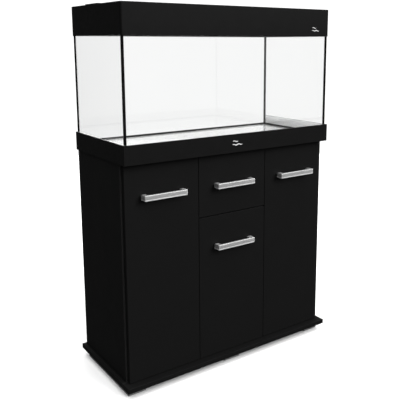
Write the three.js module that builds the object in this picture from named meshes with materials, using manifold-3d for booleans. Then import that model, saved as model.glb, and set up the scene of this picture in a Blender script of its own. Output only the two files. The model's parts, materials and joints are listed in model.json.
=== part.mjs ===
// Aquarium on a cabinet stand: an 80 x 35 x 40 cm glass tank with a lift-off light hood, on a
// chipboard cabinet with three doors and a drawer. Millimetres, +Z up. The origin is on the floor
// under the middle of the tank, and the doors face -Y.
import * as THREE from "three";
import { ConvexGeometry } from "three/addons/geometries/ConvexGeometry.js";
import { RoundedBoxGeometry } from "three/addons/geometries/RoundedBoxGeometry.js";
import { mergeVertices } from "three/addons/utils/BufferGeometryUtils.js";
import Module from "manifold-3d";

const wasm = await Module();
wasm.setup();

// ---------------------------------------------------------------- driving dimensions

// Sheet stock
const BOARD = 16; // faced chipboard
const BACK_BOARD = 3; // hardboard
const GLASS = 6;
const BOARD_EDGE = 0.8; // rounding of a banded board edge
const GLASS_EDGE = 0.4; // polished arris
const EDGE_STEPS = 1;
const BEVEL_STEPS = 2;
const CORNER_STEPS = 2; // twice as many flats in each round corner
const PIN_SIDES = 16;
const KNUCKLE_SIDES = 24;
const CUP_SIDES = 32;
const PAST = 1; // how far a cutting solid runs past the piece that it cuts

// Tank
const TANK_WIDTH = 800;
const TANK_DEPTH = 350;
const TANK_HEIGHT = 400;
const JOINT_GAP = 1; // silicone between two panes
const CORNER_BEAD = 2.5; // leg of the silicone fillet in each upright inner corner
const FLOOR_BEAD = 6; // leg of the silicone fillet round the tank floor
const BRACE_WIDTH = 40;
const BRACE_DROP = 12; // from the rim down to the top of a brace
const MAT = 3; // foam sheet under the tank
const MAT_INSET = 2;

// Trim round the foot of the tank, on three sides
const TRIM_HEIGHT = 60;
const TRIM_WALL = 4.5;
const TRIM_CORNER = 1.2;
const TAPE = 2; // room for the foam tape between the trim and the glass
const TAPE_CORNER = 0.5;
const TAPE_GAP = 0.25;
const TAPE_DROP = 0.5; // from the top of the trim down to the tape

// Cabinet
const FOOT_HEIGHT = 24;
const FOOT_WIDTH = 62;
const FOOT_LENGTH = 310;
const FOOT_EDGE = 1.5;
const PLINTH_WIDTH = 830;
const PLINTH_DEPTH = 364;
const CABINET_WIDTH = 805;
const CABINET_HEIGHT = 701; // from the plinth board to the top panel
const CABINET_FRONT = -139.5;
const CABINET_BACK = 171.5;
const DIVIDER_X = 136; // middle of each divider
const BACK_RECESS = 1; // the back board sits this far inside the side panels
const SHELF_HEIGHT = 320; // from the plinth board to the underside of the side shelves
const SHELF_SETBACK = 20;
const SHELF_PLAY = 0.5;
const CUTOUT_WIDTH = 90;
const CUTOUT_HEIGHT = 50;
const CUTOUT_DROP = 80; // from the top panel down to the middle of a side bay's cut-out
const CUTOUT_CENTRE_HEIGHT = 380; // from the plinth board up to the middle of the middle bay's cut-out

// Doors and drawer
const BUMPER_GAP = 1.5; // from the cabinet's front edge to the back of a door
const FRONT_GAP = 1.6; // between two fronts side by side
const DRAWER_GAP = 3; // between the drawer front and the door below it
const DOOR_INSET = 5; // from the side panel's outer face to the door's edge
const DOOR_LIFT = 2; // above the plinth board, and below the top panel
const DRAWER_FRONT_HEIGHT = 204;

// Cup hinges
const HINGE_AXIS = 4; // from the door's edge in to the turning axis, in the plane of the door's face
const CUP_RADIUS = 17.5;
const CUP_DEPTH = 12;
const CUP_EDGE = 5; // from the door's edge to the rim of the cup
const CUP_WALL = 1;
const CUP_PLAY = 0.2;
const FLANGE = 1.25;
const FLANGE_HALF_HEIGHT = 31;
const FLANGE_HALF_WIDTH = 15.5;
const HINGE_FROM_END = 95; // from each end of the door to the middle of its hinge
const ARM_HEIGHT = 14;
const ARM_THICKNESS = 12;
const ARM_FRONT = 38; // depths behind the door's face: where the arm starts to crank, and where it ends
const ARM_BACK = 80;
const NOSE = [16, 24]; // span of the arm's nose, from the turning axis towards the middle of the door
const NOSE_TIP = 9; // depths behind the door's face: the nose's tip, its root and its two shoulders
const NOSE_ROOT = 21;
const SHOULDER_FAR = 26;
const SHOULDER_NEAR = 31;
const PLATE_HEIGHT = 50;
const PLATE_THICKNESS = 2.5;
const PLATE_BACK = 72;

// Bar handles
const HANDLE_LENGTH = 150;
const HANDLE_HEIGHT = 18;
const HANDLE_REACH = 25; // from the door's face to the front of the bar
const HANDLE_BAR = 8;
const HANDLE_POST = 15;
const HANDLE_CORNER = 2.5;
const HANDLE_FILLET = 6;
const HANDLE_BEVEL = 2;
const HANDLE_DROP = 104.5; // from the top of the door to the middle of the handle

// Drawer box and its runners
const DRAWER_BOARD = 12;
const DRAWER_HEIGHT = 120;
const DRAWER_LENGTH = 260;
const DRAWER_BASE = 4;
const DRAWER_SIDE_GAP = 12.5; // room for a runner on each side
const DRAWER_LIFT = 22; // from the shelf to the underside of the drawer sides
const RUNNER_LENGTH = 250;
const RUNNER_SHEET = 1.5;
const RUNNER_HEIGHT = 34;
const RUNNER_PLAY = 1.5;
const RUNNER_SETBACK = 4;

// Hood
const HOOD_WIDTH = 806;
const HOOD_DEPTH = 358;
const HOOD_HEIGHT = 93;
const HOOD_OVERLAP = 45.5; // how far it reaches down over the glass
const HOOD_WALL = 2.5;
const HOOD_CORNER = 6;
const HOOD_INNER_CORNER = 2;
const HOOD_TOP_EDGE = 2;
const LEDGE_WIDTH = 13;
const LEDGE = 3;
const LEDGE_GAP = 0.1; // clearance over the glass rim

// Access flap in the hood
const FLAP_HALF_WIDTH = 376;
const FLAP_FRONT = 27;
const FLAP_BACK = 129.5;
const FLAP_RISE = 6; // above the top of the hood
const FLAP_SHEET = 2.5;
const FLAP_PLAY = 0.5;
const FLAP_CORNER = 3;
const OPENING_HALF_WIDTH = 362;
const OPENING_FRONT = 41;
const OPENING_BACK = 117;
const PIN_RADIUS = 1;
const PIN_HOLE = 1.4;
const PIN_LENGTH = 44;
const KNUCKLE_RADIUS = 2.75;
const KNUCKLE_LENGTH = 20;
const LUG_LENGTH = 9;
const LUG_GAP = 1;
const FLAP_HINGE_X = 250;
const FLAP_AXIS_Y = 134;

// Lamp under the hood
const LAMP_LENGTH = 700;
const LAMP_WIDTH = 40;
const LAMP_HEIGHT = 22;
const LAMP_WALL = 2;
const LAMP_Y = -70;
const DIFFUSER = 2;
const LAMP_CAP = 4;

// ---------------------------------------------------------------- levels and faces worked out from them

const PLINTH_TOP = FOOT_HEIGHT + BOARD;
const CABINET_TOP = PLINTH_TOP + CABINET_HEIGHT;
const TANK_BASE = CABINET_TOP + BOARD + MAT;
const TANK_FLOOR = TANK_BASE + GLASS;
const TANK_RIM = TANK_BASE + TANK_HEIGHT;
const HOOD_BOTTOM = TANK_RIM - HOOD_OVERLAP;
const HOOD_TOP = HOOD_BOTTOM + HOOD_HEIGHT;

const TANK_X = TANK_WIDTH / 2;
const TANK_Y = TANK_DEPTH / 2;
const SIDE_OUTER = CABINET_WIDTH / 2;
const SIDE_INNER = SIDE_OUTER - BOARD;
const BAY_OUTER = DIVIDER_X + BOARD / 2; // divider face on the side of a door bay
const BAY_INNER = DIVIDER_X - BOARD / 2; // divider face on the side of the drawer
const BACK_INNER = CABINET_BACK - BACK_RECESS - BACK_BOARD;

const DOOR_BACK = CABINET_FRONT - BUMPER_GAP;
const DOOR_FACE = DOOR_BACK - BOARD;
const DOOR_BOTTOM = PLINTH_TOP + DOOR_LIFT;
const DOOR_TOP = CABINET_TOP - DOOR_LIFT;
const DRAWER_FRONT_BOTTOM = DOOR_TOP - DRAWER_FRONT_HEIGHT;
const SIDE_DOOR_WIDTH = SIDE_OUTER - DOOR_INSET - DIVIDER_X - FRONT_GAP / 2;
const CENTRE_WIDTH = 2 * DIVIDER_X - FRONT_GAP;

// ---------------------------------------------------------------- materials

function finish(color, roughness, metalness = 0) {
  return new THREE.MeshStandardMaterial({ color, roughness, metalness });
}

const blackBoard = finish(0x1a1a1a, 0.5);
const blackPlastic = finish(0x1b1b1b, 0.4);
const silicone = finish(0x080808, 0.35);
const clearGlass = new THREE.MeshStandardMaterial({
  color: 0xeef4f2,
  roughness: 0.05,
  metalness: 0,
  transparent: true,
  opacity: 0.3,
});
const whiteFoam = finish(0xf2f2f2, 0.9);
const greyTape = finish(0xcfcfcf, 0.9);
const greyPlastic = finish(0xb4b4b4, 0.5);
const brushedMetal = finish(0xb0b0b0, 0.35, 0.9);
const zincSteel = finish(0x9a9c9e, 0.35, 0.9);
const whiteSteel = finish(0xdadada, 0.4, 0.3);
const lampAluminium = finish(0xc4c6c8, 0.35, 0.9);
const opalPlastic = finish(0xf4f4f0, 0.5);

// ---------------------------------------------------------------- helpers

/** The manifold-3d solid of a closed geometry. */
function solidOf(geometry) {
  const bare = geometry.clone();
  bare.deleteAttribute("normal");
  bare.deleteAttribute("uv");
  const merged = mergeVertices(bare, 1e-4);
  const vertProperties = merged.attributes.position.array;
  const triVerts = new Uint32Array(merged.index.array);
  return new wasm.Manifold(new wasm.Mesh({ numProp: 3, vertProperties, triVerts }));
}

/** The three.js geometry of a solid. */
function geometryOf(solid) {
  const { numProp, numVert, triVerts, vertProperties } = solid.getMesh();
  const positions = new Float32Array(numVert * 3);
  for (let i = 0; i < numVert; i += 1) {
    positions.set(vertProperties.subarray(i * numProp, i * numProp + 3), i * 3);
  }
  const geometry = new THREE.BufferGeometry();
  geometry.setAttribute("position", new THREE.BufferAttribute(positions, 3));
  geometry.setIndex(new THREE.BufferAttribute(triVerts, 1));
  geometry.computeVertexNormals();
  return geometry;
}

function mesh(name, geometry, material, x = 0, y = 0, z = 0) {
  const made = new THREE.Mesh(geometry, material);
  made.name = name;
  made.position.set(x, y, z);
  return made;
}

/** The geometry of a box that fills the spans [low, high] along X, Y and Z, with rounded edges. */
function block(x, y, z, edge = 0) {
  const [width, depth, height] = [x, y, z].map(([low, high]) => high - low);
  const [midX, midY, midZ] = [x, y, z].map(([low, high]) => (low + high) / 2);
  const geometry = edge
    ? new RoundedBoxGeometry(width, depth, height, EDGE_STEPS, edge)
    : new THREE.BoxGeometry(width, depth, height);
  return geometry.translate(midX, midY, midZ);
}

/** A named box, as a mesh placed at its own middle. */
function slab(name, material, x, y, z, edge = BOARD_EDGE) {
  const middle = [x, y, z].map(([low, high]) => (low + high) / 2);
  const geometry = block(x, y, z, edge).translate(...middle.map((value) => -value));
  return mesh(name, geometry, material, ...middle);
}

/** A solid box for joining and cutting. */
function blockSolid(x, y, z, edge = 0) {
  return solidOf(block(x, y, z, edge));
}

/** A span given from the middle out. */
function about(middle, half) {
  return [middle - half, middle + half];
}

/** The two ends of a span, in order, on the side that the sign picks. */
function onSide(side, near, far) {
  return side > 0 ? [near, far] : [-far, -near];
}

/** A span made longer at both ends, for a solid that cuts right through another. */
function past([low, high]) {
  return [low - PAST, high + PAST];
}

/** A solid cylinder along X, from x = low to x = high. */
function rodAlongX([low, high], y, z, radius, sides) {
  const geometry = new THREE.CylinderGeometry(radius, radius, high - low, sides);
  geometry.rotateZ(Math.PI / 2);
  return solidOf(geometry.translate((low + high) / 2, y, z));
}

/** A solid cylinder along Y, from y = low to y = high. */
function rodAlongY([low, high], x, z, radius, sides) {
  const geometry = new THREE.CylinderGeometry(radius, radius, high - low, sides);
  return solidOf(geometry.translate(x, (low + high) / 2, z));
}

/** A flat outline in plan, raised from z = low to z = high. */
function raise(shape, [low, high]) {
  const options = { depth: high - low, bevelEnabled: false, curveSegments: CORNER_STEPS };
  return new THREE.ExtrudeGeometry(shape, options).translate(0, 0, low);
}

/** A rectangle in plan with round corners. */
function roundedRectangle(x, y, radius) {
  const shape = new THREE.Shape();
  shape.moveTo(x[0] + radius, y[0]);
  shape.lineTo(x[1] - radius, y[0]);
  shape.absarc(x[1] - radius, y[0] + radius, radius, -Math.PI / 2, 0);
  shape.lineTo(x[1], y[1] - radius);
  shape.absarc(x[1] - radius, y[1] - radius, radius, 0, Math.PI / 2);
  shape.lineTo(x[0] + radius, y[1]);
  shape.absarc(x[0] + radius, y[1] - radius, radius, Math.PI / 2, Math.PI);
  shape.lineTo(x[0], y[0] + radius);
  shape.absarc(x[0] + radius, y[0] + radius, radius, Math.PI, 1.5 * Math.PI);
  return shape;
}

const SIDES = [
  ["left", -1],
  ["right", 1],
];
const ENDS = [
  ["front", -1],
  ["back", 1],
];

// ---------------------------------------------------------------- tank

function tankPanes() {
  const z = [TANK_BASE, TANK_RIM];
  const paneInner = TANK_Y - GLASS;
  const panes = ENDS.map(([end, side]) =>
    slab(`glass_${end}`, clearGlass, [-TANK_X, TANK_X], onSide(side, paneInner, TANK_Y), z, GLASS_EDGE),
  );
  const sideSpan = about(0, paneInner - JOINT_GAP);
  for (const [name, side] of SIDES) {
    const x = onSide(side, TANK_X - GLASS, TANK_X);
    panes.push(slab(`glass_${name}`, clearGlass, x, sideSpan, z, GLASS_EDGE));
  }
  const floorX = about(0, TANK_X - GLASS - JOINT_GAP);
  panes.push(slab("glass_bottom", clearGlass, floorX, sideSpan, [TANK_BASE, TANK_FLOOR], GLASS_EDGE));
  return panes;
}

/** Glass strips glued inside the front and back panes, just under the rim. */
function tankBraces() {
  const x = about(0, TANK_X - GLASS);
  const top = TANK_RIM - BRACE_DROP;
  const outer = TANK_Y - GLASS;
  return ENDS.map(([end, side]) => {
    const y = onSide(side, outer - BRACE_WIDTH, outer);
    return slab(`brace_${end}`, clearGlass, x, y, [top - GLASS, top], GLASS_EDGE);
  });
}

/** One silicone seal: the layers between the panes, and a fillet in every inner corner below the braces. */
function siliconeSeal() {
  const x = TANK_X - GLASS;
  const y = TANK_Y - GLASS;
  const beadTop = TANK_RIM - BRACE_DROP - GLASS;
  const floorLayer = blockSolid(about(0, x), about(0, y), [TANK_BASE, TANK_FLOOR]).subtract(
    blockSolid(about(0, x - JOINT_GAP), about(0, y - JOINT_GAP), past([TANK_BASE, TANK_FLOOR])),
  );
  const funnel = [];
  for (const [, signX] of SIDES) {
    for (const [, signY] of ENDS) {
      funnel.push(new THREE.Vector3(signX * (x - FLOOR_BEAD), signY * (y - FLOOR_BEAD), TANK_FLOOR));
      funnel.push(new THREE.Vector3(signX * x, signY * y, TANK_FLOOR + FLOOR_BEAD));
    }
  }
  const floorBead = blockSolid(about(0, x), about(0, y), [TANK_FLOOR, TANK_FLOOR + FLOOR_BEAD]).subtract(
    solidOf(new ConvexGeometry(funnel)),
  );
  let seal = floorLayer.add(floorBead);
  for (const [, signX] of SIDES) {
    for (const [, signY] of ENDS) {
      const layer = blockSolid(
        onSide(signX, x, TANK_X),
        onSide(signY, y - JOINT_GAP, y),
        [TANK_BASE, TANK_RIM - GLASS_EDGE],
      );
      const corner = new THREE.Shape([
        new THREE.Vector2(signX * x, signY * y),
        new THREE.Vector2(signX * (x - CORNER_BEAD), signY * y),
        new THREE.Vector2(signX * x, signY * (y - CORNER_BEAD)),
      ]);
      seal = seal.add(layer).add(solidOf(raise(corner, [TANK_FLOOR, beadTop])));
    }
  }
  return mesh("silicone_seal", geometryOf(seal), silicone);
}

/** A strip of even thickness round the front and both sides of the tank, a gap off the glass. */
function threeSided(gap, thickness, z, corner) {
  const outer = gap + thickness;
  const back = TANK_Y;
  const whole = raise(
    roundedRectangle(about(0, TANK_X + outer), [-TANK_Y - outer, back + outer], corner),
    z,
  );
  const inner = block(about(0, TANK_X + gap), [-TANK_Y - gap, back + 2 * outer], past(z));
  const behind = block(about(0, 2 * TANK_X), [back, back + 2 * outer], past(z));
  return geometryOf(solidOf(whole).subtract(solidOf(inner)).subtract(solidOf(behind)));
}

function tankSurround() {
  const trimSpan = [CABINET_TOP, CABINET_TOP + TRIM_HEIGHT];
  const tapeSpan = [CABINET_TOP + BOARD, trimSpan[1] - TAPE_DROP];
  const matSpan = [CABINET_TOP + BOARD, TANK_BASE];
  const trim = threeSided(TAPE_GAP + TAPE, TRIM_WALL, trimSpan, TRIM_CORNER);
  const tape = threeSided(TAPE_GAP, TAPE - TAPE_GAP, tapeSpan, TAPE_CORNER);
  return [
    mesh("tank_trim", trim, blackPlastic),
    mesh("trim_tape", tape, greyTape),
    slab("foam_mat", whiteFoam, about(0, TANK_X - MAT_INSET), about(0, TANK_Y - MAT_INSET), matSpan, 0),
  ];
}

function tank() {
  return new THREE.Group().add(...tankPanes(), ...tankBraces(), siliconeSeal(), ...tankSurround());
}

// ---------------------------------------------------------------- hood

/** A box open below: the outer shell less the room inside it. */
function hoodSkin() {
  const halfX = HOOD_WIDTH / 2;
  const halfY = HOOD_DEPTH / 2;
  const below = HOOD_TOP_EDGE * 4;
  const outline = roundedRectangle(about(0, halfX), about(0, halfY), HOOD_CORNER);
  const outer = new THREE.ExtrudeGeometry(outline, {
    depth: HOOD_HEIGHT + below - 2 * HOOD_TOP_EDGE,
    bevelSize: HOOD_TOP_EDGE,
    bevelOffset: -HOOD_TOP_EDGE,
    bevelThickness: HOOD_TOP_EDGE,
    bevelSegments: BEVEL_STEPS,
    curveSegments: CORNER_STEPS,
  }).translate(0, 0, HOOD_BOTTOM - below + HOOD_TOP_EDGE);
  const roomX = about(0, halfX - HOOD_WALL);
  const roomY = about(0, halfY - HOOD_WALL);
  const room = raise(
    roundedRectangle(roomX, roomY, HOOD_INNER_CORNER),
    [HOOD_BOTTOM - 2 * below, HOOD_TOP - HOOD_WALL],
  );
  const foot = block(about(0, HOOD_WIDTH), about(0, HOOD_DEPTH), [HOOD_BOTTOM - 2 * below, HOOD_BOTTOM]);
  return solidOf(outer).subtract(solidOf(room)).subtract(solidOf(foot));
}

/** The ledge inside the hood that rests on the glass rim. */
function hoodLedge() {
  const halfX = HOOD_WIDTH / 2 - HOOD_WALL;
  const halfY = HOOD_DEPTH / 2 - HOOD_WALL;
  const join = HOOD_WALL / 2; // how far the ledge runs into the wall
  const z = [TANK_RIM + LEDGE_GAP, TANK_RIM + LEDGE];
  const plate = raise(
    roundedRectangle(about(0, halfX + join), about(0, halfY + join), HOOD_CORNER - join),
    z,
  );
  const hole = block(about(0, halfX - LEDGE_WIDTH), about(0, halfY - LEDGE_WIDTH), past(z));
  return solidOf(plate).subtract(solidOf(hole));
}

/** Spans along X of the knuckle and of the two lugs at one hinge of the flap. */
function flapHingeSpans(side) {
  const middle = side * FLAP_HINGE_X;
  const lugNear = KNUCKLE_LENGTH / 2 + LUG_GAP;
  return {
    knuckle: about(middle, KNUCKLE_LENGTH / 2),
    lugs: [about(middle, lugNear + LUG_LENGTH), about(middle, lugNear)],
    pin: about(middle, PIN_LENGTH / 2),
  };
}

const FLAP_AXIS_Z = HOOD_TOP + FLAP_RISE - KNUCKLE_RADIUS;

/** The pair of lugs at one flap hinge, with the pin hole through both. */
function hoodLugs(side) {
  const { lugs, pin } = flapHingeSpans(side);
  const [outer, inner] = lugs;
  const footZ = [HOOD_TOP - HOOD_WALL / 2, FLAP_AXIS_Z];
  const foot = blockSolid(outer, about(FLAP_AXIS_Y, KNUCKLE_RADIUS), footZ);
  const barrel = rodAlongX(outer, FLAP_AXIS_Y, FLAP_AXIS_Z, KNUCKLE_RADIUS, KNUCKLE_SIDES);
  const tall = [HOOD_TOP, FLAP_AXIS_Z + 2 * KNUCKLE_RADIUS];
  const between = blockSolid(inner, about(FLAP_AXIS_Y, 2 * KNUCKLE_RADIUS), tall);
  const hole = rodAlongX(past(pin), FLAP_AXIS_Y, FLAP_AXIS_Z, PIN_HOLE, PIN_SIDES);
  return foot.add(barrel).subtract(between).subtract(hole);
}

function hoodShell() {
  const opening = raise(
    roundedRectangle(about(0, OPENING_HALF_WIDTH), [OPENING_FRONT, OPENING_BACK], FLAP_CORNER),
    [HOOD_TOP - 2 * HOOD_WALL, HOOD_TOP + HOOD_WALL],
  );
  let shell = hoodSkin().add(hoodLedge()).subtract(solidOf(opening));
  for (const [, side] of SIDES) {
    shell = shell.add(hoodLugs(side));
  }
  return mesh("hood_shell", geometryOf(shell), blackPlastic);
}

/** The flap: a shallow lid with a turned-down rim on three sides and two knuckles behind. */
function accessFlap() {
  const top = HOOD_TOP + FLAP_RISE;
  const bottom = HOOD_TOP + FLAP_PLAY;
  const x = about(0, FLAP_HALF_WIDTH);
  const y = [FLAP_FRONT, FLAP_BACK];
  const body = solidOf(raise(roundedRectangle(x, y, FLAP_CORNER), [bottom, top]));
  const hollow = blockSolid(
    about(0, FLAP_HALF_WIDTH - FLAP_SHEET),
    [FLAP_FRONT + FLAP_SHEET, FLAP_BACK + FLAP_SHEET],
    [bottom - PAST, top - FLAP_SHEET],
  );
  const slopeBack = FLAP_FRONT + 2 * FLAP_CORNER;
  const slope = new ConvexGeometry(
    SIDES.flatMap(([, side]) => [
      new THREE.Vector3(side * TANK_X, FLAP_FRONT - PAST, top + PAST),
      new THREE.Vector3(side * TANK_X, slopeBack, top + PAST),
      new THREE.Vector3(side * TANK_X, slopeBack, top),
      new THREE.Vector3(side * TANK_X, FLAP_FRONT - PAST, top - FLAP_SHEET),
    ]),
  );
  let flap = body.subtract(hollow).subtract(solidOf(slope));
  for (const [, side] of SIDES) {
    const { knuckle, lugs, pin } = flapHingeSpans(side);
    const tongue = blockSolid(knuckle, [FLAP_BACK - FLAP_SHEET, FLAP_AXIS_Y], [FLAP_AXIS_Z, top]);
    const barrel = rodAlongX(knuckle, FLAP_AXIS_Y, FLAP_AXIS_Z, KNUCKLE_RADIUS, KNUCKLE_SIDES);
    const hole = rodAlongX(past(pin), FLAP_AXIS_Y, FLAP_AXIS_Z, PIN_HOLE, PIN_SIDES);
    const lugHalf = (lugs[0][1] - lugs[0][0]) / 2;
    const reliefX = about(side * FLAP_HINGE_X, lugHalf + LUG_GAP);
    const relief = blockSolid(reliefX, about(FLAP_BACK, LUG_GAP), past([bottom, top]));
    flap = flap.subtract(relief).add(tongue).add(barrel).subtract(hole);
  }
  return mesh("access_flap", geometryOf(flap), blackPlastic);
}

function flapPins() {
  return SIDES.map(([name, side]) => {
    const pin = new THREE.CylinderGeometry(PIN_RADIUS, PIN_RADIUS, PIN_LENGTH, PIN_SIDES);
    const x = side * FLAP_HINGE_X;
    return mesh(`flap_pin_${name}`, pin.rotateZ(Math.PI / 2), zincSteel, x, FLAP_AXIS_Y, FLAP_AXIS_Z);
  });
}

/** A light bar screwed to the underside of the hood: channel, opal cover and two end caps. */
function lamp() {
  const top = HOOD_TOP - HOOD_WALL;
  const bottom = top - LAMP_HEIGHT;
  const y = about(LAMP_Y, LAMP_WIDTH / 2);
  const coverY = about(LAMP_Y, LAMP_WIDTH / 2 - LAMP_WALL);
  const x = about(0, LAMP_LENGTH / 2);
  const channel = blockSolid(x, y, [bottom, top], GLASS_EDGE).subtract(
    blockSolid(about(0, LAMP_LENGTH), coverY, [bottom - PAST, top - LAMP_WALL]),
  );
  const coverZ = [bottom, bottom + DIFFUSER];
  const pieces = [
    mesh("lamp_channel", geometryOf(channel), lampAluminium),
    slab("lamp_cover", opalPlastic, x, coverY, coverZ, 0),
  ];
  for (const [name, side] of SIDES) {
    const cap = onSide(side, LAMP_LENGTH / 2, LAMP_LENGTH / 2 + LAMP_CAP);
    pieces.push(slab(`lamp_cap_${name}`, greyPlastic, cap, y, [bottom, top], BOARD_EDGE));
  }
  return pieces;
}

function hood() {
  return new THREE.Group().add(hoodShell(), accessFlap(), ...flapPins(), ...lamp());
}

// ---------------------------------------------------------------- cabinet

function plinth() {
  const boardX = about(0, PLINTH_WIDTH / 2);
  const boardY = about(0, PLINTH_DEPTH / 2);
  const pieces = [slab("plinth_board", blackBoard, boardX, boardY, [FOOT_HEIGHT, PLINTH_TOP])];
  const outerX = SIDE_OUTER - FOOT_WIDTH / 2;
  for (const [name, x] of [
    ["left", -outerX],
    ["middle", 0],
    ["right", outerX],
  ]) {
    const spans = [about(x, FOOT_WIDTH / 2), about(0, FOOT_LENGTH / 2), [0, FOOT_HEIGHT]];
    pieces.push(slab(`foot_rail_${name}`, greyPlastic, ...spans, FOOT_EDGE));
  }
  return pieces;
}

function uprights() {
  const z = [PLINTH_TOP, CABINET_TOP];
  const panelY = [CABINET_FRONT, CABINET_BACK];
  const dividerY = [CABINET_FRONT, BACK_INNER];
  return SIDES.flatMap(([name, side]) => [
    slab(`side_panel_${name}`, blackBoard, onSide(side, SIDE_INNER, SIDE_OUTER), panelY, z),
    slab(`divider_${name}`, blackBoard, onSide(side, BAY_INNER, BAY_OUTER), dividerY, z),
  ]);
}

/** Middle of each hose cut-out in the back board: one high in each side bay, one low in the middle bay. */
function cutoutPlaces() {
  const sideX = (SIDE_INNER + BAY_OUTER) / 2;
  const high = CABINET_TOP - CUTOUT_DROP;
  return [
    [-sideX, high],
    [0, PLINTH_TOP + CUTOUT_CENTRE_HEIGHT],
    [sideX, high],
  ];
}

function backPanel() {
  const y = [BACK_INNER, BACK_INNER + BACK_BOARD];
  let panel = blockSolid(about(0, SIDE_INNER), y, [PLINTH_TOP, CABINET_TOP]);
  for (const [x, z] of cutoutPlaces()) {
    const halfWidth = about(0, CUTOUT_WIDTH / 2);
    const outline = roundedRectangle(halfWidth, about(0, CUTOUT_HEIGHT / 2), CUTOUT_HEIGHT / 4);
    const cut = raise(outline, about(0, BACK_BOARD)).rotateX(Math.PI / 2);
    panel = panel.subtract(solidOf(cut.translate(x, (y[0] + y[1]) / 2, z)));
  }
  return mesh("back_panel", geometryOf(panel), blackBoard);
}

function shelves() {
  const front = CABINET_FRONT + SHELF_SETBACK;
  const z = [PLINTH_TOP + SHELF_HEIGHT, PLINTH_TOP + SHELF_HEIGHT + BOARD];
  const pieces = SIDES.map(([name, side]) => {
    const x = onSide(side, BAY_OUTER + SHELF_PLAY, SIDE_INNER - SHELF_PLAY);
    return slab(`shelf_${name}`, blackBoard, x, [front, BACK_INNER - SHELF_PLAY], z);
  });
  const middle = DRAWER_FRONT_BOTTOM - DRAWER_GAP / 2;
  const drawerShelf = [about(0, BAY_INNER), [CABINET_FRONT, BACK_INNER], about(middle, BOARD / 2)];
  pieces.push(slab("drawer_shelf", blackBoard, ...drawerShelf));
  return pieces;
}

function topPanel() {
  const z = [CABINET_TOP, CABINET_TOP + BOARD];
  return slab("top_panel", blackBoard, about(0, TANK_X), about(0, TANK_Y), z);
}

// ---------------------------------------------------------------- doors, hinges and handles

/** A flat bar bent to a bridge: two posts on the door, a bar in front of them, and soft edges all round. */
function handleGeometry() {
  const end = HANDLE_LENGTH / 2;
  const inner = end - HANDLE_POST;
  const barBack = HANDLE_BAR - HANDLE_REACH;
  const filletX = inner - HANDLE_FILLET;
  const filletY = barBack + HANDLE_FILLET;
  const outline = new THREE.Shape();
  outline.moveTo(-end, 0);
  outline.lineTo(-end, HANDLE_CORNER - HANDLE_REACH);
  outline.absarc(HANDLE_CORNER - end, HANDLE_CORNER - HANDLE_REACH, HANDLE_CORNER, Math.PI, 1.5 * Math.PI);
  outline.lineTo(end - HANDLE_CORNER, -HANDLE_REACH);
  outline.absarc(end - HANDLE_CORNER, HANDLE_CORNER - HANDLE_REACH, HANDLE_CORNER, -Math.PI / 2, 0);
  outline.lineTo(end, 0);
  outline.lineTo(inner, 0);
  outline.lineTo(inner, filletY);
  outline.absarc(filletX, filletY, HANDLE_FILLET, 0, -Math.PI / 2, true);
  outline.lineTo(-filletX, barBack);
  outline.absarc(-filletX, filletY, HANDLE_FILLET, -Math.PI / 2, Math.PI, true);
  outline.lineTo(-inner, 0);
  const geometry = new THREE.ExtrudeGeometry(outline, {
    depth: HANDLE_HEIGHT - 2 * HANDLE_BEVEL,
    bevelSize: HANDLE_BEVEL,
    bevelOffset: -HANDLE_BEVEL,
    bevelThickness: HANDLE_BEVEL,
    bevelSegments: BEVEL_STEPS,
    curveSegments: CORNER_STEPS,
  });
  return geometry.translate(0, 0, HANDLE_BEVEL - HANDLE_HEIGHT / 2);
}

function handle(name, x, z) {
  return mesh(`handle_${name}`, handleGeometry(), brushedMetal, x, 0, z);
}

/** A cup hinge's cup with its screw flange, placed from the turning axis; the door runs to that side. */
function hingeCup(side) {
  const x = side * (CUP_EDGE - HINGE_AXIS + CUP_RADIUS);
  const bottom = BOARD - CUP_DEPTH + CUP_PLAY;
  const outer = rodAlongY([bottom, BOARD + FLANGE], x, 0, CUP_RADIUS - CUP_PLAY, CUP_SIDES);
  const flangeX = about(x, FLANGE_HALF_WIDTH);
  const flange = blockSolid(flangeX, [BOARD, BOARD + FLANGE], about(0, FLANGE_HALF_HEIGHT));
  const room = rodAlongY([bottom + CUP_WALL, BOARD + 2 * FLANGE], x, 0, CUP_RADIUS - CUP_WALL, CUP_SIDES);
  return geometryOf(outer.add(flange).subtract(room));
}

/** The cabinet half of a cup hinge: a plate on the panel and a cranked arm whose nose dips into the cup. */
function hingeArm(side, panelFace) {
  const [near, far] = NOSE;
  const points = [
    [panelFace, ARM_BACK],
    [panelFace + ARM_THICKNESS, ARM_BACK],
    [panelFace + ARM_THICKNESS, ARM_FRONT],
    [far, SHOULDER_FAR],
    [far, NOSE_TIP],
    [near, NOSE_TIP],
    [near, NOSE_ROOT],
    [panelFace, SHOULDER_NEAR],
  ];
  const outline = new THREE.Shape(points.map(([x, y]) => new THREE.Vector2(side * x, y)));
  const body = solidOf(raise(outline, about(0, ARM_HEIGHT / 2)));
  const plateX = onSide(side, panelFace, panelFace + PLATE_THICKNESS);
  const plate = blockSolid(plateX, [ARM_FRONT, PLATE_BACK], about(0, PLATE_HEIGHT / 2));
  return geometryOf(body.add(plate));
}

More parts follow.
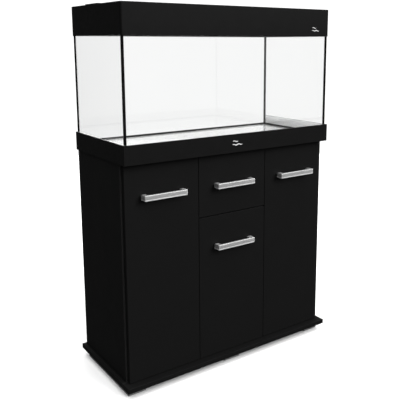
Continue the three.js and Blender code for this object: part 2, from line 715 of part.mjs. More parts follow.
/** A door with its handle and the cups of its two hinges, built from its turning axis. */
function door({ name, axisX, side, width, bottom, height, panelFace }) {
  const group = new THREE.Group();
  group.position.set(axisX, DOOR_FACE, bottom);
  const x = onSide(side, -HINGE_AXIS, width - HINGE_AXIS);
  let board = blockSolid(x, [0, BOARD], [0, height], BOARD_EDGE);
  const cupX = side * (CUP_EDGE - HINGE_AXIS + CUP_RADIUS);
  for (const [level, z] of [
    ["lower", HINGE_FROM_END],
    ["upper", height - HINGE_FROM_END],
  ]) {
    board = board.subtract(rodAlongY([BOARD - CUP_DEPTH, 2 * BOARD], cupX, z, CUP_RADIUS, CUP_SIDES));
    group.add(mesh(`hinge_cup_${name}_${level}`, hingeCup(side), zincSteel, 0, 0, z));
    group.add(mesh(`hinge_arm_${name}_${level}`, hingeArm(side, panelFace), zincSteel, 0, 0, z));
  }
  group.add(mesh(`door_${name}`, geometryOf(board), blackBoard));
  group.add(handle(name, (x[0] + x[1]) / 2, height - HANDLE_DROP));
  return group;
}

function doors() {
  const height = DOOR_TOP - DOOR_BOTTOM;
  const sideAxis = SIDE_OUTER - DOOR_INSET - HINGE_AXIS;
  const group = new THREE.Group();
  for (const [name, side] of SIDES) {
    group.add(
      door({
        name,
        axisX: side * sideAxis,
        side: -side,
        width: SIDE_DOOR_WIDTH,
        bottom: DOOR_BOTTOM,
        height,
        panelFace: sideAxis - SIDE_INNER,
      }),
    );
  }
  const centreAxis = CENTRE_WIDTH / 2 - HINGE_AXIS;
  group.add(
    door({
      name: "centre",
      axisX: -centreAxis,
      side: 1,
      width: CENTRE_WIDTH,
      bottom: DOOR_BOTTOM,
      height: DRAWER_FRONT_BOTTOM - DRAWER_GAP - DOOR_BOTTOM,
      panelFace: centreAxis - BAY_INNER,
    }),
  );
  return group;
}

// ---------------------------------------------------------------- drawer

/** Half the width of the drawer box, and the height of its underside. */
const DRAWER_X = BAY_INNER - DRAWER_SIDE_GAP;
const DRAWER_Z = DRAWER_FRONT_BOTTOM - DRAWER_GAP / 2 + BOARD / 2 + DRAWER_LIFT;
const RUNNER_Z = DRAWER_Z + RUNNER_HEIGHT / 2;

function drawerBox() {
  const sideInner = DRAWER_X - DRAWER_BOARD;
  const y = [DOOR_BACK, DOOR_BACK + DRAWER_LENGTH];
  const z = [DRAWER_Z, DRAWER_Z + DRAWER_HEIGHT];
  const sides = SIDES.map(([name, side]) =>
    slab(`drawer_side_${name}`, blackBoard, onSide(side, sideInner, DRAWER_X), y, z),
  );
  const base = [DRAWER_Z + DRAWER_BASE, DRAWER_Z + 2 * DRAWER_BASE];
  const backY = [y[1] - DRAWER_BOARD, y[1]];
  return [
    ...sides,
    slab("drawer_back", blackBoard, about(0, sideInner), backY, [base[1], z[1]]),
    slab("drawer_bottom", blackBoard, about(0, sideInner), y, base, 0),
  ];
}

function drawerFront() {
  const z = [DRAWER_FRONT_BOTTOM, DOOR_TOP];
  const y = [DOOR_FACE, DOOR_BACK];
  const handleGroup = new THREE.Group().add(handle("drawer", 0, DOOR_TOP - HANDLE_DROP));
  handleGroup.position.y = DOOR_FACE;
  return [slab("drawer_front", blackBoard, about(0, CENTRE_WIDTH / 2), y, z), handleGroup];
}

/** Roller runners: a channel on the divider, and an angle on the drawer side with a fin that runs in it. */
function runners() {
  const y = [CABINET_FRONT + RUNNER_SETBACK, CABINET_FRONT + RUNNER_SETBACK + RUNNER_LENGTH];
  const half = RUNNER_HEIGHT / 2;
  const channelX = DRAWER_X + RUNNER_SHEET + RUNNER_PLAY;
  return SIDES.flatMap(([name, side]) => {
    const web = blockSolid(onSide(side, BAY_INNER - RUNNER_SHEET, BAY_INNER), y, about(RUNNER_Z, half));
    const lips = [half - RUNNER_SHEET, -half].map((low) =>
      blockSolid(onSide(side, channelX, BAY_INNER), y, [RUNNER_Z + low, RUNNER_Z + low + RUNNER_SHEET]),
    );
    const wallX = onSide(side, DRAWER_X, DRAWER_X + RUNNER_SHEET);
    const wall = blockSolid(wallX, y, about(RUNNER_Z, half - RUNNER_PLAY));
    const finX = onSide(side, DRAWER_X, BAY_INNER - RUNNER_SHEET - RUNNER_PLAY);
    const fin = blockSolid(finX, y, about(RUNNER_Z, RUNNER_SHEET / 2));
    return [
      mesh(`cabinet_runner_${name}`, geometryOf(web.add(lips[0]).add(lips[1])), whiteSteel),
      mesh(`drawer_runner_${name}`, geometryOf(wall.add(fin)), whiteSteel),
    ];
  });
}

function drawer() {
  return new THREE.Group().add(...drawerFront(), ...drawerBox(), ...runners());
}

// ---------------------------------------------------------------- the whole object

const aquarium = new THREE.Group();
aquarium.add(...plinth(), ...uprights(), backPanel(), ...shelves(), topPanel());
aquarium.add(doors(), drawer(), tank(), hood());

export default aquarium;
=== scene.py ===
"""Looks of an aquarium on its cabinet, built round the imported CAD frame."""

import json
import math

import bmesh
import bpy
from mathutils import Matrix, Vector


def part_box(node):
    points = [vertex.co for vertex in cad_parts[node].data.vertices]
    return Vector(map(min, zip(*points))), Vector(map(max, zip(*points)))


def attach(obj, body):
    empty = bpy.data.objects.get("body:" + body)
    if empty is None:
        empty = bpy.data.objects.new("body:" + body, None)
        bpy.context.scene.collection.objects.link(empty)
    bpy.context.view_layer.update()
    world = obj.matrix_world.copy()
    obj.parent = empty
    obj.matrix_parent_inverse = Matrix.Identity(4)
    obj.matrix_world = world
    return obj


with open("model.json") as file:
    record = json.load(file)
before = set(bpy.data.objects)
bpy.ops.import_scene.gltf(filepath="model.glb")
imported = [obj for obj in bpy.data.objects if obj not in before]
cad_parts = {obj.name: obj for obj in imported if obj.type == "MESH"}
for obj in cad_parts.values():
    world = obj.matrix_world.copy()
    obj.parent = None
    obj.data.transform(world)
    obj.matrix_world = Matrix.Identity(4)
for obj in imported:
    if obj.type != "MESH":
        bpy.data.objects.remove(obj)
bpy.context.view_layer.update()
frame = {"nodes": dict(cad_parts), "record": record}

MM = 0.001

# Camera: its place in metres, its angles in radians, its lens and sensor in millimetres
CAMERA_PLACE = (-1.1594, -1.7393, 1.0932)
CAMERA_YAW = 0.625
CAMERA_PITCH = 0.176
CAMERA_LENS = 54.30
CAMERA_SENSOR = 36
CAMERA_SHIFT = (-0.0714, -0.125)

# Studio: how bright the floor and the surroundings are to each kind of ray
BACKDROP = 1.2  # to the eye
BEYOND_GLASS = 0.99  # to the eye, through a pane
PANE_FILL = 0.95  # what more comes in through the panes as light on the things behind them
FLOOR_FILL = 0.24  # as light that the floor throws back on the object
SHEEN = 0.06  # in reflections
AMBIENT_LEFT = 0.02  # as light from one side of the surroundings
AMBIENT_RIGHT = 0.55
AMBIENT_TOP = 0.15
AMBIENT_BACK = 1.6
BACK_FOCUS = 3  # how closely the light from behind keeps to straight behind
FLOOR_COLOUR = 0.85
FLOOR_RADIUS = 4.0
FLOOR_SIDES = 96
SUNS = (  # name, where it stands, strength, width in degrees
    ("overhead", (0.03, -0.05, 1), 4.6, 102),
    ("key", (0.55, -0.80, 0.50), 3.2, 35),
)


# ---------------------------------------------------------------- materials

def colour(value):
    """A grey level or a colour as the four numbers a socket takes."""
    red, green, blue = value if isinstance(value, tuple) else (value,) * 3
    return (red, green, blue, 1)


def arithmetic(nodes, links, operation, *values):
    """The result of a Math node fed with numbers or outputs."""
    node = nodes.new("ShaderNodeMath")
    node.operation = operation
    for value, socket in zip(values, node.inputs):
        if isinstance(value, bpy.types.NodeSocket):
            links.new(value, socket)
        else:
            socket.default_value = value
    return node.outputs["Value"]


class Paint:
    """A material being mixed: its Principled shader and the patterns that feed it."""

    def __init__(self, name):
        self.material = bpy.data.materials.new(name)
        self.material.use_nodes = True
        self.nodes = self.material.node_tree.nodes
        self.links = self.material.node_tree.links
        self.shader = self.nodes["Principled BSDF"]
        self.places = self.nodes.new("ShaderNodeTexCoord").outputs

    def set(self, **values):
        for name, value in values.items():
            self.shader.inputs[name.replace("_", " ")].default_value = value

    def feed(self, output, name):
        self.links.new(output, self.shader.inputs[name])

    def noise(self, size, stretch=(1, 1, 1), detail=3.0):
        """Blotches about size millimetres across, drawn out along each axis by its stretch."""
        mapping = self.nodes.new("ShaderNodeMapping")
        mapping.inputs["Scale"].default_value = [1 / (size * MM * s) for s in stretch]
        self.links.new(self.places["Object"], mapping.inputs["Vector"])
        noise = self.nodes.new("ShaderNodeTexNoise")
        noise.inputs["Scale"].default_value = 1
        noise.inputs["Detail"].default_value = detail
        noise.inputs["Roughness"].default_value = 0.55
        self.links.new(mapping.outputs["Vector"], noise.inputs["Vector"])
        return noise.outputs["Fac"]

    def cells(self, size):
        """Distance to the nearest of scattered points about size millimetres apart."""
        cells = self.nodes.new("ShaderNodeTexVoronoi")
        cells.inputs["Scale"].default_value = 1 / (size * MM)
        self.links.new(self.places["Object"], cells.inputs["Vector"])
        return cells.outputs["Distance"]

    def coordinate(self, kind, axis):
        """One coordinate: of kind Object, in metres, or Generated, as a share of the object's box."""
        parts = self.nodes.new("ShaderNodeSeparateXYZ")
        self.links.new(self.places[kind], parts.inputs["Vector"])
        return parts.outputs[axis]

    def spread(self, factor, low, high, start=0.3, end=0.7):
        """The factor's span from start to end, stretched to run from low to high."""
        ranged = self.nodes.new("ShaderNodeMapRange")
        ranged.inputs["From Min"].default_value = start
        ranged.inputs["From Max"].default_value = end
        ranged.inputs["To Min"].default_value = low
        ranged.inputs["To Max"].default_value = high
        self.links.new(factor, ranged.inputs["Value"])
        return ranged.outputs["Result"]

    def along(self, axis, start, end):
        """0 to 1 between two shares of the object's box along an axis."""
        return self.spread(self.coordinate("Generated", axis), 0, 1, start, end)

    def combine(self, operation, first, second):
        return arithmetic(self.nodes, self.links, operation, first, second)

    def blend(self, factor, first, second):
        """A colour between two, each a grey level, a colour or another pattern's output."""
        mix = self.nodes.new("ShaderNodeMix")
        mix.data_type = "RGBA"
        self.links.new(factor, mix.inputs["Factor"])
        sockets = [socket for socket in mix.inputs if socket.type == "RGBA"]
        for socket, value in zip(sockets, (first, second)):
            if isinstance(value, bpy.types.NodeSocket):
                self.links.new(value, socket)
            else:
                socket.default_value = colour(value)
        return next(socket for socket in mix.outputs if socket.type == "RGBA")

    def clouds(self, size, dark, light, detail=3.0, stretch=(1, 1, 1)):
        """A colour that wanders between two."""
        return self.blend(self.spread(self.noise(size, stretch, detail), 0, 1), dark, light)

    def relief(self, height, depth, strength):
        """Bumps up to depth millimetres deep."""
        bump = self.nodes.new("ShaderNodeBump")
        bump.inputs["Strength"].default_value = strength
        bump.inputs["Distance"].default_value = depth * MM
        self.links.new(height, bump.inputs["Height"])
        self.feed(bump.outputs["Normal"], "Normal")

    def finish(self, first, fac, second):
        """Shows one shader or another, by a factor."""
        mix = self.nodes.new("ShaderNodeMixShader")
        self.links.new(fac, mix.inputs["Fac"])
        self.links.new(first, mix.inputs[1])
        self.links.new(second, mix.inputs[2])
        self.links.new(mix.outputs["Shader"], self.nodes["Material Output"].inputs["Surface"])


HIGHLIGHT_BAND_START = (-1.1 * MM, -0.7 * MM)  # where the painted highlight on the edge band fades in and out, from the panels' front edges
HIGHLIGHT_BAND_END = (0.1 * MM, 1.1 * MM)


def black_board():
    """Melamine-faced chipboard, pearl finish, with the edge band on the panels' front edges painted much
    lighter than the faces: a painted highlight, as if those edges caught the light.
    """
    paint = Paint("black_board")
    paint.set(IOR=1.5, Specular_IOR_Level=0.06)
    face = paint.clouds(3.2, 0.0046, 0.0060, detail=4)
    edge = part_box("side_panel_left")[0].y
    depth = paint.coordinate("Object", "Y")
    start = paint.spread(depth, 0, 1, *(edge + step for step in HIGHLIGHT_BAND_START))
    end = paint.spread(depth, 1, 0, *(edge + step for step in HIGHLIGHT_BAND_END))
    # painted highlight: the front edge band takes a grey about five times lighter than the faces
    paint.feed(paint.blend(paint.combine("MULTIPLY", start, end), face, 0.0270), "Base Color")
    paint.feed(paint.spread(paint.noise(60, detail=2), 0.45, 0.50), "Roughness")
    paint.relief(paint.noise(1.1), 0.06, 0.35)
    return paint.material


def black_plastic():
    """Injection-moulded black ABS with a fine satin grain."""
    paint = Paint("black_plastic")
    paint.set(IOR=1.5, Specular_IOR_Level=0.045)
    paint.feed(paint.clouds(45, 0.0052, 0.0060, detail=2), "Base Color")
    paint.feed(paint.spread(paint.noise(12), 0.40, 0.48), "Roughness")
    paint.relief(paint.noise(0.7, detail=2), 0.03, 0.25)
    return paint.material


def grey_plastic():
    """Grey moulded polystyrene with faint flow marks."""
    paint = Paint("grey_plastic")
    paint.set(Specular_IOR_Level=0.3)
    paint.feed(paint.clouds(9, 0.13, 0.17, stretch=(1, 5, 1)), "Base Color")
    paint.feed(paint.spread(paint.noise(14), 0.38, 0.52), "Roughness")
    paint.relief(paint.noise(0.9), 0.04, 0.3)
    return paint.material


def brushed_metal():
    """Satin-lacquered zinc brushed along the bar, with painted highlights: much lighter along its lower
    edge and at one end, where the bar's edges catch the light.
    """
    paint = Paint("brushed_metal")
    paint.set(Metallic=0.5, Specular_IOR_Level=0.5)
    lines = paint.noise(0.35, stretch=(60, 1, 1), detail=2)
    haze = paint.noise(8, stretch=(3, 1, 1), detail=2)
    brushed = paint.blend(paint.spread(lines, 0, 1), 0.25, 0.50)
    hazed = paint.blend(paint.spread(haze, 0, 0.35), brushed, 0.30)
    topped = paint.blend(paint.along("Z", 0.80, 0.88), hazed, 0.36)
    # painted highlight: the lower edge and the right-hand end are painted much lighter, as if lit
    edge_highlight = paint.combine("MAXIMUM", paint.along("Z", 0.32, 0.22), paint.along("X", 0.978, 0.988))
    paint.feed(paint.blend(edge_highlight, topped, 0.84), "Base Color")
    paint.feed(paint.spread(lines, 0.34, 0.46), "Roughness")
    paint.relief(lines, 0.02, 0.3)
    return paint.material


def hinge_steel():
    """Pressed steel with a bright nickel plating, slightly clouded."""
    paint = Paint("hinge_steel")
    paint.set(Metallic=1.0)
    paint.feed(paint.clouds(6, 0.55, 0.68, detail=4), "Base Color")
    paint.feed(paint.spread(paint.noise(2.5), 0.22, 0.34), "Roughness")
    paint.relief(paint.noise(0.8), 0.02, 0.2)
    return paint.material


def runner_steel():
    """White epoxy powder coat with orange peel."""
    paint = Paint("runner_steel")
    paint.feed(paint.clouds(20, 0.70, 0.78), "Base Color")
    paint.feed(paint.spread(paint.noise(5), 0.32, 0.44), "Roughness")
    paint.relief(paint.noise(1.6), 0.05, 0.4)
    return paint.material


def tank_glass():
    """Clear float glass. Lamps shine through it, so what stands in the tank isn't shut in the dark."""
    paint = Paint("tank_glass")
    paint.set(IOR=1.45, Transmission_Weight=1.0, Roughness=0.0)
    paint.feed(paint.clouds(180, (0.983, 0.987, 0.985), (0.988, 0.991, 0.990)), "Base Color")
    clear = paint.nodes.new("ShaderNodeBsdfTransparent")
    path = paint.nodes.new("ShaderNodeLightPath")
    paint.finish(paint.shader.outputs["BSDF"], path.outputs["Is Shadow Ray"], clear.outputs["BSDF"])
    return paint.material


def black_silicone():
    """Tooled silicone, a little wavy."""
    paint = Paint("black_silicone")
    paint.set(Specular_IOR_Level=0.03)
    paint.feed(paint.clouds(15, 0.0008, 0.0018), "Base Color")
    paint.feed(paint.spread(paint.noise(6), 0.42, 0.56), "Roughness")
    paint.relief(paint.noise(9, detail=1), 0.2, 0.3)
    return paint.material


def foam(name, dark, light, pore, depth):
    """Closed-cell foam: a skin of small cells."""
    paint = Paint(name)
    paint.set(Specular_IOR_Level=0.15)
    paint.feed(paint.clouds(25, dark, light, detail=4), "Base Color")
    paint.feed(paint.spread(paint.noise(4), 0.78, 0.92), "Roughness")
    paint.relief(paint.cells(pore), depth, 0.4)
    return paint.material


def lamp_aluminium():
    """Extruded, anodised aluminium with die lines along its length."""
    paint = Paint("lamp_aluminium")
    paint.set(Metallic=1.0)
    lines = paint.noise(0.6, stretch=(400, 1, 1), detail=2)
    paint.feed(paint.blend(paint.spread(lines, 0, 1), 0.62, 0.74), "Base Color")
    paint.feed(paint.spread(lines, 0.36, 0.48), "Roughness")
    paint.relief(lines, 0.02, 0.3)
    return paint.material


def opal_plastic():
    """Milky acrylic."""
    paint = Paint("opal_plastic")
    paint.set(Specular_IOR_Level=0.5)
    paint.feed(paint.clouds(30, 0.80, 0.86), "Base Color")
    paint.feed(paint.spread(paint.noise(7), 0.22, 0.32), "Roughness")
    paint.relief(paint.noise(3), 0.02, 0.2)
    return paint.material


def printed_mark():
    """Pale grey pad print, slightly worn."""
    paint = Paint("printed_mark")
    paint.set(Specular_IOR_Level=0.3)
    paint.feed(paint.clouds(2.5, 0.55, 0.70), "Base Color")
    paint.feed(paint.spread(paint.noise(4), 0.40, 0.55), "Roughness")
    return paint.material


MATERIALS = {
    "black_board": black_board(),
    "black_plastic": black_plastic(),
    "grey_plastic": grey_plastic(),
    "brushed_metal": brushed_metal(),
    "hinge_steel": hinge_steel(),
    "runner_steel": runner_steel(),
    "tank_glass": tank_glass(),
    "black_silicone": black_silicone(),
    "grey_foam": foam("grey_foam", 0.84, 0.90, 1.2, 0.12),
    "white_foam": foam("white_foam", 0.89, 0.94, 1.5, 0.04),
    "lamp_aluminium": lamp_aluminium(),
    "opal_plastic": opal_plastic(),
}


# ---------------------------------------------------------------- soft edges

SMOOTH_ANGLE = math.radians(50)
WELD = 0.01 * MM


def smoothing():
    """A node group that joins split corners and shades smoothly over all but the sharp edges."""
    group = bpy.data.node_groups.new("smoothing", "GeometryNodeTree")
    group.interface.new_socket("Geometry", in_out="INPUT", socket_type="NodeSocketGeometry")
    group.interface.new_socket("Geometry", in_out="OUTPUT", socket_type="NodeSocketGeometry")
    nodes, links = group.nodes, group.links
    plain = nodes.new("GeometryNodeRemoveAttribute")
    plain.inputs["Name"].default_value = "custom_normal"
    weld = nodes.new("GeometryNodeMergeByDistance")
    weld.inputs["Distance"].default_value = WELD
    faces = nodes.new("GeometryNodeSetShadeSmooth")
    edges = nodes.new("GeometryNodeSetShadeSmooth")
    edges.domain = "EDGE"
    creases = nodes.new("GeometryNodeSetShadeSmooth")
    creases.domain = "EDGE"
    creases.inputs["Shade Smooth"].default_value = False
    steps = [nodes.new("NodeGroupInput"), plain, weld, faces, edges, creases, nodes.new("NodeGroupOutput")]
    for first, second in zip(steps, steps[1:]):
        links.new(first.outputs["Geometry"], second.inputs["Geometry"])
    angle = nodes.new("GeometryNodeInputMeshEdgeAngle")
    sharp = nodes.new("FunctionNodeCompare")
    sharp.operation = "GREATER_THAN"
    sharp.inputs["B"].default_value = SMOOTH_ANGLE
    links.new(angle.outputs["Unsigned Angle"], sharp.inputs["A"])
    links.new(sharp.outputs["Result"], creases.inputs["Selection"])
    return group


SMOOTHING = smoothing()


def soften(thing):
    """Smooth shading over round parts, with flat faces kept flat."""
    smooth = thing.modifiers.new("smoothing", "NODES")
    smooth.node_group = SMOOTHING
    flat = thing.modifiers.new("flat faces", "WEIGHTED_NORMAL")
    flat.mode = "FACE_AREA"
    flat.keep_sharp = True


def dress_frame():
    for part in frame["record"]["subparts"]:
        thing = frame["nodes"][part["node"]]
        for place in thing.material_slots:
            place.material = MATERIALS[part["material_slot"]]
        soften(thing)


# ---------------------------------------------------------------- small pieces

def solid(name, mesh, body, slot, material=None):
    """Turns a bmesh into a piece that rides on a body."""
    bmesh.ops.recalc_face_normals(mesh, faces=mesh.faces)
    data = bpy.data.meshes.new(name)
    mesh.to_mesh(data)
    mesh.free()
    data.materials.append(material or MATERIALS[slot])
    thing = bpy.data.objects.new(name, data)
    bpy.context.scene.collection.objects.link(thing)
    soften(thing)
    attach(thing, body)


def facing(place, axis):
    """The transform that stands a shape built along +Z at a place, pointing along an axis."""
    turn = Vector(axis).to_track_quat("Z", "Y").to_matrix().to_4x4()
    return Matrix.Translation(place) @ turn


def lathe(mesh, profile, place, axis, sides=24, dent=None):
    """Adds a turned solid. The profile's (radius, height) pairs, in millimetres, run from pole to pole."""
    stand = facing(place, axis)
    (_, low), *rings, (_, high) = profile
    bottom = mesh.verts.new(stand @ Vector((0, 0, low * MM)))
    top = mesh.verts.new(stand @ Vector((0, 0, high * MM)))
    loops = []
    for number, (radius, height) in enumerate(rings):
        loop = []
        for k in range(sides):
            turn = 2 * math.pi * k / sides
            drop = dent(number, k) if dent else 0
            spot = (radius * math.cos(turn), radius * math.sin(turn), height - drop)
            loop.append(mesh.verts.new(stand @ (Vector(spot) * MM)))
        loops.append(loop)
    for k in range(sides):
        after = (k + 1) % sides
        mesh.faces.new((bottom, loops[0][after], loops[0][k]))
        mesh.faces.new((top, loops[-1][k], loops[-1][after]))
        for inner, outer in zip(loops, loops[1:]):
            mesh.faces.new((inner[k], inner[after], outer[after], outer[k]))


def bar(mesh, rows):
    """Adds a solid bar through rows of corners, closed at both ends."""
    rows = [[mesh.verts.new(corner) for corner in row] for row in rows]
    for first, second in zip(rows, rows[1:]):
        for a in range(len(first)):
            b = (a + 1) % len(first)
            mesh.faces.new((first[a], first[b], second[b], second[a]))
    mesh.faces.new(rows[0])
    mesh.faces.new(rows[-1][::-1])


SCREW_SIDES = 24
SCREW_HEAD = (  # shares of the head's radius and height, from its seat to the bottom of its recess
    (0, 0),
    (1, 0),
    (1, 0.4),
    (0.86, 0.78),
    (0.66, 0.95),
    (0.52, 1),
    (0.20, 1),
    (0, 0.45),
)
RECESS_RING = 4  # the ring of the head where the cross recess starts
RECESS_DEPTH = 0.5
CROSS_ARMS = 4


def screw(mesh, place, axis, radius, height):
    """A pan head with a cross recess."""

    def dent(ring, k):
        on_arm = k % (SCREW_SIDES // CROSS_ARMS) == 0
        return RECESS_DEPTH * height if ring >= RECESS_RING and on_arm else 0

    profile = [(radius * across, height * up) for across, up in SCREW_HEAD]
    lathe(mesh, profile, place, axis, SCREW_SIDES, dent)


HANDLE_SCREW = (4.2, 2.6)  # radius and height of the head
POST_MIDDLE = 7.5 * MM  # from the end of a handle to the middle of its post
HANDLES = (  # name, board, body
    ("left", "door_left", "door_left"),
    ("right", "door_right", "door_right"),
    ("centre", "door_centre", "door_centre"),
    ("drawer", "drawer_front", "drawer"),
)


def handle_screws():
    """Two screws through the board into each handle's posts, with their heads on the inner face."""
    for name, board, body in HANDLES:
        low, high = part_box(f"handle_{name}")
        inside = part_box(board)[1].y
        mesh = bmesh.new()
        for x in (low.x + POST_MIDDLE, high.x - POST_MIDDLE):
            screw(mesh, (x, inside, (low.z + high.z) / 2), (0, 1, 0), *HANDLE_SCREW)
        solid(f"handle_screws_{name}", mesh, body, "hinge_steel")


CUP_SCREW = (3.6, 1.8)
CUP_SCREW_RISE = 24 * MM  # from the middle of the hinge
ARM_SCREW = (3.8, 2.0)
ARM_SCREW_RISE = 18 * MM
ARM_SCREW_Y = -93 * MM
ARM_PLATE = 2.5 * MM  # thickness of the arm's plate on the panel
HINGES = (  # door, which way the panel's face looks, panel
    ("left", 1, "side_panel_left"),
    ("right", -1, "side_panel_right"),
    ("centre", 1, "divider_left"),
)


def hinge_screws():
    """Screws in the flange of each hinge cup, and in the plate of each arm."""
    for name, side, panel in HINGES:
        cups, arms = bmesh.new(), bmesh.new()
        low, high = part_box(panel)
        face = high.x if side > 0 else low.x
        for level in ("lower", "upper"):
            low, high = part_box(f"hinge_cup_{name}_{level}")
            middle = (low + high) / 2
            for way in (-1, 1):
                spot = (middle.x, high.y, middle.z + way * CUP_SCREW_RISE)
                screw(cups, spot, (0, 1, 0), *CUP_SCREW)
                spot = (face + side * ARM_PLATE, ARM_SCREW_Y, middle.z + way * ARM_SCREW_RISE)
                screw(arms, spot, (side, 0, 0), *ARM_SCREW)
        solid(f"cup_screws_{name}", cups, f"door_{name}", "hinge_steel")
        solid(f"arm_screws_{name}", arms, "cabinet", "hinge_steel")


PIN_COLLAR = 3.6
PIN = [(0, 0), (PIN_COLLAR, 0), (PIN_COLLAR, 1.2), (2.5, 1.4), (2.5, 8.0), (2.0, 8.6), (0, 8.6)]
PIN_SIDES = 16
PIN_FROM_FRONT = 40 * MM
PIN_FROM_BACK = 45 * MM


def shelf_pins():
    """Four collared steel pins under each shelf."""
    mesh = bmesh.new()
    for name, outer, inner in (
        ("left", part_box("side_panel_left")[1].x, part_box("divider_left")[0].x),
        ("right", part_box("side_panel_right")[0].x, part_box("divider_right")[1].x),
    ):
        low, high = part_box(f"shelf_{name}")
        for y in (low.y + PIN_FROM_FRONT, high.y - PIN_FROM_BACK):
            for x in (outer, inner):
                inward = 1 if x < (low.x + high.x) / 2 else -1
                lathe(mesh, PIN, (x, y, low.z - PIN_COLLAR * MM), (inward, 0, 0), PIN_SIDES)
    solid("shelf_pins", mesh, "cabinet", "hinge_steel")


ROLLER = [(0, 0), (5.8, 0), (6.9, 0.5), (6.9, 4.5), (5.8, 5.0), (2.6, 5.0), (2.4, 5.8), (0, 6.0)]
ROLLER_SEAT = 2.2 * MM  # from the rail's outer face to the roller
ROLLER_RISE = 7.2 * MM  # from the rail's lower or upper edge to the roller's middle
ROLLER_END = 12 * MM


def runner_rollers():
    """Nylon rollers: at the front of each cabinet rail, and at the back of each drawer rail."""
    for name, side in (("left", -1), ("right", 1)):
        low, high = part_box(f"drawer_runner_{name}")
        wall = (low.x if side > 0 else high.x) + side * ROLLER_SEAT
        rail, drawer = bmesh.new(), bmesh.new()
        lathe(rail, ROLLER, (wall, low.y + ROLLER_END, low.z + ROLLER_RISE), (side, 0, 0))
        lathe(drawer, ROLLER, (wall, high.y - ROLLER_END, high.z - ROLLER_RISE), (side, 0, 0))
        solid(f"rail_roller_{name}", rail, "cabinet", "opal_plastic")
        solid(f"drawer_roller_{name}", drawer, "drawer", "opal_plastic")


BUMPER = [(0, 0), (4.0, 0), (4.0, 0.5), (3.2, 1.1), (1.6, 1.3), (0, 1.35)]
BUMPER_SIDES = 16
BUMPER_END = 30 * MM  # from the door's lower or upper edge
BUMPER_SIDE = 3 * MM  # from the face of the divider


def door_bumpers():
    """Clear stops on the front edges of the dividers, where the free edge of each door lands."""
    mesh = bmesh.new()
    for door, panel, side in (
        ("door_left", "divider_left", -1),
        ("door_right", "divider_right", 1),
        ("door_centre", "divider_right", -1),
    ):
        low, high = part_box(panel)
        x = (high.x if side > 0 else low.x) - side * BUMPER_SIDE
        door_low, door_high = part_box(door)
        for z in (door_low.z + BUMPER_END, door_high.z - BUMPER_END):
            lathe(mesh, BUMPER, (x, low.y, z), (0, -1, 0), BUMPER_SIDES)
    solid("door_bumpers", mesh, "cabinet", "opal_plastic")


NAIL = [(0, 0), (2.2, 0), (2.2, 0.3), (1.4, 0.55), (0, 0.6)]
NAIL_SIDES = 12
NAIL_PITCH = 90 * MM
NAIL_END = 35 * MM


def back_nails():
    """Flat-headed nails that hold the back board to the dividers."""
    mesh = bmesh.new()
    low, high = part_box("back_panel")
    count = int((high.z - low.z - 2 * NAIL_END) / NAIL_PITCH) + 1
    for name in ("left", "right"):
        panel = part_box(f"divider_{name}")
        x = (panel[0].x + panel[1].x) / 2
        for k in range(count):
            z = low.z + NAIL_END + k * NAIL_PITCH
            lathe(mesh, NAIL, (x, high.y, z), (0, 1, 0), NAIL_SIDES)
    solid("back_nails", mesh, "cabinet", "hinge_steel")


BEAD = 0.25 * MM  # thickness of the silicone on the outside of the glass
BEAD_STEPS = 60
BEAD_WAVE = 0.3 * MM
BEAD_RIPPLES = (23, 7.3)  # how fast the two waves in its edges run along it, in radians
BEAD_LAP = {"front": 0, "back": 7 * MM}  # how far it runs on over the side pane


def corner_beads():
    """Black silicone wiped over the cut ends of the front and back panes, a little wavy."""
    mesh = bmesh.new()
    fast, slow = BEAD_RIPPLES
    for name, lap in BEAD_LAP.items():
        low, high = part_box(f"glass_{name}")
        for side, x in ((-1, low.x), (1, high.x)):
            rows = []
            for k in range(BEAD_STEPS + 1):
                share = k / BEAD_STEPS
                z = low.z + BEAD + share * (high.z - low.z - 2 * BEAD)
                waver = BEAD_WAVE * math.sin(fast * share + side) * math.sin(slow * share)
                near = low.y + BEAD_WAVE + waver - lap
                far = high.y - BEAD_WAVE + waver
                crown = x + side * BEAD
                rows.append([(x, near, z), (crown, near + BEAD, z), (crown, far - BEAD, z), (x, far, z)])
            bar(mesh, rows)
    solid("corner_beads", mesh, "cabinet", "black_silicone")


WAVE_STEPS = 48
WAVE_THICKNESS = 0.16
WAVE_CROWN = 0.85  # width of the raised face, as a share of the line's width
WAVE_TIP = 0.25  # width of the line's ends
WAVE_APART = 5.5
TRIM_MARK_RISE = 31 * MM
HOOD_MARK_FROM_END = 63 * MM
HOOD_MARK_RISE = 24.5 * MM
HOOD_MARK_SCALE = 0.85


def wave(mesh, centre, face, length, swing, stroke, bends):
    """A raised wavy line, in millimetres, on a face that looks along -Y, thinner towards both ends."""
    middle = Vector((centre[0], face, centre[1]))
    rows = []
    for k in range(WAVE_STEPS + 1):
        share = k / WAVE_STEPS
        x = (share - 0.5) * length
        z = swing * math.sin(2 * math.pi * bends * share)
        half = stroke / 2 * (WAVE_TIP + (1 - WAVE_TIP) * math.sin(math.pi * share) ** 0.5)
        crown = half * WAVE_CROWN
        corners = ((0, half), (-WAVE_THICKNESS, crown), (-WAVE_THICKNESS, -crown), (0, -half))
        rows.append([Vector((x, y, z + rise)) * MM + middle for y, rise in corners])
    bar(mesh, rows)


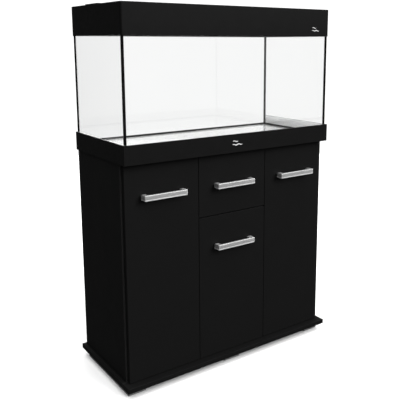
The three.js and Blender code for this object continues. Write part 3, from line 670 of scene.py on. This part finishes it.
def wave_marks():
    """Two plain wave lines on the trim and two on the hood."""
    material = printed_mark()
    trim_low, trim_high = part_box("tank_trim")
    hood_low, hood_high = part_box("hood_shell")
    on_trim = ((trim_low.x + trim_high.x) / 2, trim_low.z + TRIM_MARK_RISE)
    on_hood = (hood_high.x - HOOD_MARK_FROM_END, hood_low.z + HOOD_MARK_RISE)
    for name, body, (x, z), face, scale in (
        ("trim", "cabinet", on_trim, trim_low.y, 1.0),
        ("hood", "hood", on_hood, hood_low.y, HOOD_MARK_SCALE),
    ):
        mesh = bmesh.new()
        rise = WAVE_APART * MM * scale
        wave(mesh, (x, z - rise), face, 40 * scale, 1.5 * scale, 3.2 * scale, 2)
        wave(mesh, (x - 8 * MM * scale, z + rise), face, 20 * scale, 1.5 * scale, 3.0 * scale, 1)
        solid(f"wave_mark_{name}", mesh, body, "grey_plastic", material)


# ---------------------------------------------------------------- studio

def through_glass(nodes, links):
    """What shows through a pane: the even backdrop to the eye, and more than that as a light."""
    path = nodes.new("ShaderNodeLightPath")
    lit = arithmetic(nodes, links, "MINIMUM", path.outputs["Diffuse Depth"], 1)
    return arithmetic(nodes, links, "MULTIPLY_ADD", lit, PANE_FILL, BEYOND_GLASS)


def by_ray(nodes, links, levels, rest):
    """A brightness for each kind of ray, and one for the rest."""
    path = nodes.new("ShaderNodeLightPath")
    for kind, level in levels:
        mix = nodes.new("ShaderNodeMix")
        links.new(path.outputs[kind], mix.inputs["Factor"])
        for value, socket in ((rest, mix.inputs["A"]), (level, mix.inputs["B"])):
            if isinstance(value, bpy.types.NodeSocket):
                links.new(value, socket)
            else:
                socket.default_value = value
        rest = mix.outputs["Result"]
    return rest


def floor_material():
    """Matt white paper, dimmer in reflections, with an even glow where it is seen through panes."""
    paint = Paint("floor")
    paint.set(Base_Color=colour(FLOOR_COLOUR), Roughness=1.0, Specular_IOR_Level=0.0)
    nodes, links = paint.nodes, paint.links
    glow = nodes.new("ShaderNodeEmission")
    levels = (("Is Glossy Ray", SHEEN), ("Is Transmission Ray", through_glass(nodes, links)))
    links.new(by_ray(nodes, links, levels, FLOOR_FILL), glow.inputs["Strength"])
    path = nodes.new("ShaderNodeLightPath")
    paint.finish(glow.outputs["Emission"], path.outputs["Is Camera Ray"], paint.shader.outputs["BSDF"])
    return paint.material


def add_floor():
    mesh = bmesh.new()
    bmesh.ops.create_circle(mesh, cap_ends=True, radius=FLOOR_RADIUS, segments=FLOOR_SIDES)
    data = bpy.data.meshes.new("floor")
    mesh.to_mesh(data)
    mesh.free()
    floor = bpy.data.objects.new("floor", data)
    bpy.context.scene.collection.objects.link(floor)
    data.materials.append(floor_material())


def add_world():
    """White to the eye and through panes; as a light on the object, dim on the left and strong behind."""
    world = bpy.data.worlds.new("studio")
    bpy.context.scene.world = world
    world.use_nodes = True
    nodes, links = world.node_tree.nodes, world.node_tree.links
    direction = nodes.new("ShaderNodeTexCoord")
    parts = nodes.new("ShaderNodeSeparateXYZ")
    links.new(direction.outputs["Generated"], parts.inputs["Vector"])
    middle = (AMBIENT_LEFT + AMBIENT_RIGHT) / 2
    slope = (AMBIENT_RIGHT - AMBIENT_LEFT) / 2
    sides = arithmetic(nodes, links, "MULTIPLY_ADD", parts.outputs["X"], slope, middle)
    upper = arithmetic(nodes, links, "MULTIPLY_ADD", parts.outputs["Z"], AMBIENT_TOP, sides)
    behind = arithmetic(nodes, links, "MAXIMUM", parts.outputs["Y"], 0)
    focused = arithmetic(nodes, links, "POWER", behind, BACK_FOCUS)
    ambient = arithmetic(nodes, links, "MULTIPLY_ADD", focused, AMBIENT_BACK, upper)
    levels = (
        ("Is Glossy Ray", SHEEN),
        ("Is Transmission Ray", through_glass(nodes, links)),
        ("Is Camera Ray", BACKDROP),
    )
    background = nodes["Background"]
    links.new(by_ray(nodes, links, levels, ambient), background.inputs["Strength"])
    background.inputs["Color"].default_value = colour(1.0)


def add_suns():
    """Far, soft lights."""
    for name, towards, strength, width in SUNS:
        data = bpy.data.lights.new(name, "SUN")
        data.energy = strength
        data.angle = math.radians(width)
        lamp = bpy.data.objects.new(name, data)
        bpy.context.scene.collection.objects.link(lamp)
        lamp.rotation_euler = Vector(towards).to_track_quat("Z", "Y").to_euler()


def add_camera():
    data = bpy.data.cameras.new("camera")
    data.sensor_width = CAMERA_SENSOR
    data.lens = CAMERA_LENS
    data.shift_x, data.shift_y = CAMERA_SHIFT
    camera = bpy.data.objects.new("camera", data)
    bpy.context.scene.collection.objects.link(camera)
    camera.location = CAMERA_PLACE
    ahead = Vector((
        math.sin(CAMERA_YAW) * math.cos(CAMERA_PITCH),
        math.cos(CAMERA_YAW) * math.cos(CAMERA_PITCH),
        -math.sin(CAMERA_PITCH),
    ))
    camera.rotation_euler = ahead.to_track_quat("-Z", "Y").to_euler()
    bpy.context.scene.camera = camera


dress_frame()
handle_screws()
hinge_screws()
shelf_pins()
runner_rollers()
door_bumpers()
back_nails()
corner_beads()
wave_marks()

add_floor()
add_world()
add_suns()
add_camera()
bpy.context.scene.view_settings.view_transform = "Standard"
